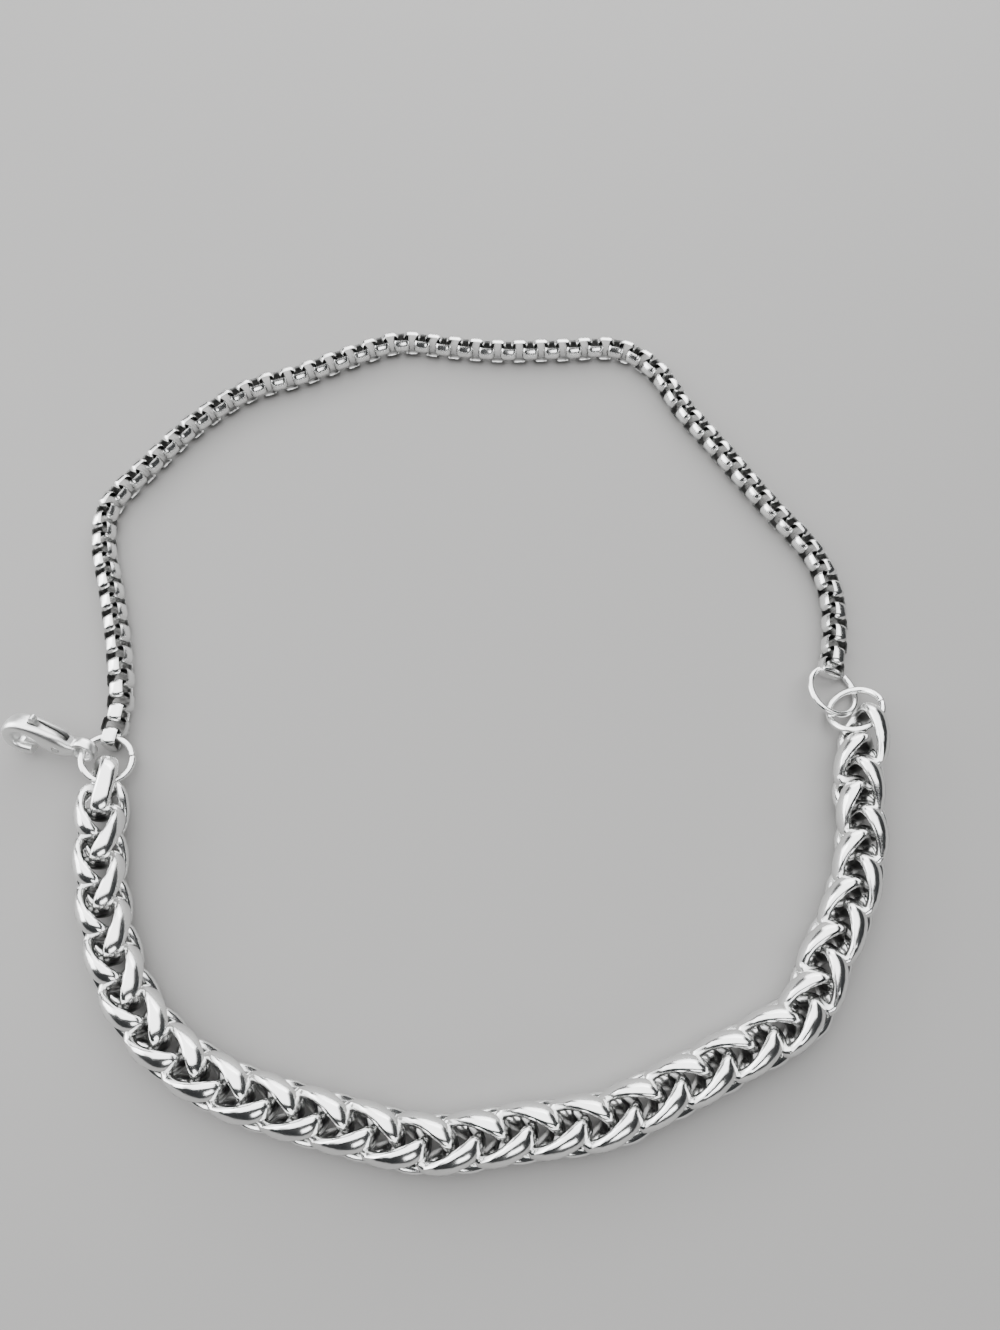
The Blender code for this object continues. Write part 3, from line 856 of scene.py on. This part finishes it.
    def build_body(self) -> bpy.types.Object:
        """Bar, eye, slot and bore as one cast piece."""
        bore = self.pin("bore_tool", 0.5 * self.rivet + self.rivet_play, 2.0 * self.thick, 0.0)
        bm = self.combine(self.bar(), [(self.eye(), "UNION"), (self.slot_tool(), "DIFFERENCE"),
                                       (bore, "DIFFERENCE")])

        # Painted shade on the slot's walls.
        def openness(point: Vector) -> float:
            inside = self.slot_start * self.length < point.x < self.slot_end * self.length
            return self.slot_open if inside and abs(point.y) < 0.52 * self.slot else 1.0

        return self.dress("clasp_shell", bm, Body.BRACELET, "clasp_body", self.finish, openness)

    def build_lever(self) -> bpy.types.Object:
        """Gate, thumb tab and rivet eye cut from one plate with eased edges."""
        knots = [Vector((x * self.length, 0.0, z * self.depth)) for x, z in self.lever_outline]
        count = len(knots)
        curve = [catmull([knots[(i + n - 1) % count] for n in range(4)], k / 3.0)
                 for i in range(count) for k in range(3)]
        half = 0.5 * self.slot - self.play
        bm = bmesh.new()
        bmesh.ops.create_circle(bm, cap_ends=True, segments=len(curve), radius=1.0)
        for vert, point in zip(bm.verts, curve):
            vert.co = point - Vector((0.0, half, 0.0))
        grown = bmesh.ops.extrude_face_region(bm, geom=bm.faces[:])["geom"]
        raised = [v for v in grown if isinstance(v, bmesh.types.BMVert)]
        bmesh.ops.translate(bm, vec=(0.0, 2.0 * half, 0.0), verts=raised)
        rims = [e for e in bm.edges if abs(e.verts[0].co.y - e.verts[1].co.y) < 0.01 * MM]
        bmesh.ops.bevel(bm, geom=rims, offset=self.lever_ease, affect="EDGES", segments=3, profile=0.5,
                        material=-1)
        bore = self.pin("lever_bore_tool", 0.5 * self.rivet + self.rivet_play, 2.0 * self.slot, 0.0)
        bm = self.combine(self.as_object("plate", bm), [(bore, "DIFFERENCE")])
        # Painted shade: the lever gets the darker steel and a lowered open value.
        return self.dress("clasp_gate", bm, Body.LEVER, "clasp_lever", self.shaded_inner_finish,
                          lambda point: self.gate_open)

    def build_rivet(self) -> bpy.types.Object:
        """Rivet with eased ends, flush with the cheeks."""
        bm = self.combine(self.pin("pin", 0.5 * self.rivet, self.thick, self.rivet_ease), [])
        # Painted shade: the rivet gets the darker steel and a lowered open value.
        return self.dress("clasp_pin", bm, Body.BRACELET, "clasp_rivet", self.shaded_inner_finish,
                          lambda point: self.gate_open)

    def build(self) -> None:
        """Make the three pieces of the clasp."""
        self.build_body()
        self.build_lever()
        self.build_rivet()


@dataclass(frozen=True)
class Lamp:
    """Soft rectangular lamp that looks at a target."""

    name: str
    place: Vector
    target: Vector
    wide: float
    deep: float
    watts: float

    def make(self) -> None:
        """Hang the lamp."""
        light = bpy.data.lights.new(self.name, "AREA")
        light.shape = "RECTANGLE"
        light.size = self.wide
        light.size_y = self.deep
        light.energy = self.watts
        holder = bpy.data.objects.new(self.name, light)
        holder.location = self.place
        holder.rotation_euler = (self.target - self.place).to_track_quat("-Z", "Y").to_euler()
        bpy.context.collection.objects.link(holder)


@dataclass
class Studio:
    """Camera at the photograph's angle, plain pale floor and soft light."""

    camera_place: tuple[float, float, float] = (0.0065, -0.048985, 0.115637)
    camera_tilt: float = math.radians(24.0)
    lens: float = 27.068
    sensor: float = 36.0
    nearest: float = 0.005
    floor_size: float = 3.0
    world: Colour = (0.03, 0.032, 0.034, 1.0)
    lamps: list[Lamp] = field(default_factory=lambda: [
        Lamp("ceiling", Vector((-0.04, 0.14, 0.42)), Vector((0.0, 0.0, 0.0)), 1.10, 0.90, 14.0),
        Lamp("window", Vector((-0.46, 0.06, 0.16)), Vector((0.0, 0.0, 0.0)), 0.44, 0.26, 2.6),
        Lamp("far_window", Vector((0.06, 0.52, 0.16)), Vector((0.0, 0.0, 0.0)), 0.60, 0.24, 2.4),
        Lamp("front", Vector((0.16, -0.42, 0.24)), Vector((0.0, -0.02, 0.0)), 0.30, 0.16, 0.8),
    ])

    def make_camera(self) -> None:
        """Create the camera and make it the scene's own."""
        lens = bpy.data.cameras.new("camera")
        lens.lens = self.lens
        lens.sensor_width = self.sensor
        lens.sensor_fit = "AUTO"
        lens.clip_start = self.nearest
        camera = bpy.data.objects.new("camera", lens)
        camera.location = self.camera_place
        camera.rotation_euler = (self.camera_tilt, 0.0, 0.0)
        bpy.context.collection.objects.link(camera)
        bpy.context.scene.camera = camera

    def make_floor(self) -> None:
        """Lay the floor."""
        bm = bmesh.new()
        bmesh.ops.create_grid(bm, x_segments=1, y_segments=1, size=0.5 * self.floor_size)
        mesh = bpy.data.meshes.new("floor")
        bm.to_mesh(mesh)
        bm.free()
        mesh.materials.append(FloorFinish().make())
        floor = bpy.data.objects.new("floor", mesh)
        bpy.context.collection.objects.link(floor)

    def build(self) -> None:
        """Set up camera, lamps, sky and floor."""
        self.make_camera()
        for lamp in self.lamps:
            lamp.make()
        world = bpy.data.worlds.new("room")
        world.use_nodes = True
        world.node_tree.nodes["Background"].inputs["Color"].default_value = self.world
        bpy.context.scene.world = world
        self.make_floor()


def main() -> None:
    """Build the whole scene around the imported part."""
    logging.basicConfig(level=logging.INFO)
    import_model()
    Studio().build()
    wheat_steel = SteelFinish("wheat_steel").make()
    box_steel = SteelFinish("box_steel", gloss=0.12).make()
    ring_steel = SteelFinish("ring_steel", gloss=0.11, scratch=0.09).make()
    clasp_steel = SteelFinish("clasp_steel", gloss=0.24, ripple=0.12).make()
    # Darker copy of the steel for the lever and rivet in the clasp's slot: painted shade.
    shaded_gate_steel = SteelFinish("shaded_gate_steel", gloss=0.26, ripple=0.10, bright=(0.74, 0.745, 0.74, 1.0)).make()
    WheatChain(wheat_steel).build()
    BoxChain(box_steel).build()
    rings = [
        # node, centre in millimetres, facing, outer diameter in millimetres, place of the cut in degrees
        ("jump_ring_left", (-40.35, -10.74, 2.14), (0.31, 0.07, 1.0), 6.54, 14.0),
        ("jump_ring_box", (47.58, -1.76, 1.57), (0.355, 0.109, 1.0), 7.18, 52.0),
        ("jump_ring_wheat", (49.73, -4.49, 2.30), (-0.475, 0.396, 1.0), 7.09, 2.0),
    ]
    for name, centre, facing, outer, cut in rings:
        place = Vector(centre) * MM
        JumpRing(name, ring_steel, place, Vector(facing), outer * MM, math.radians(cut)).build()
    Clasp(clasp_steel, shaded_gate_steel).build()


if __name__ == "__main__":
    main()
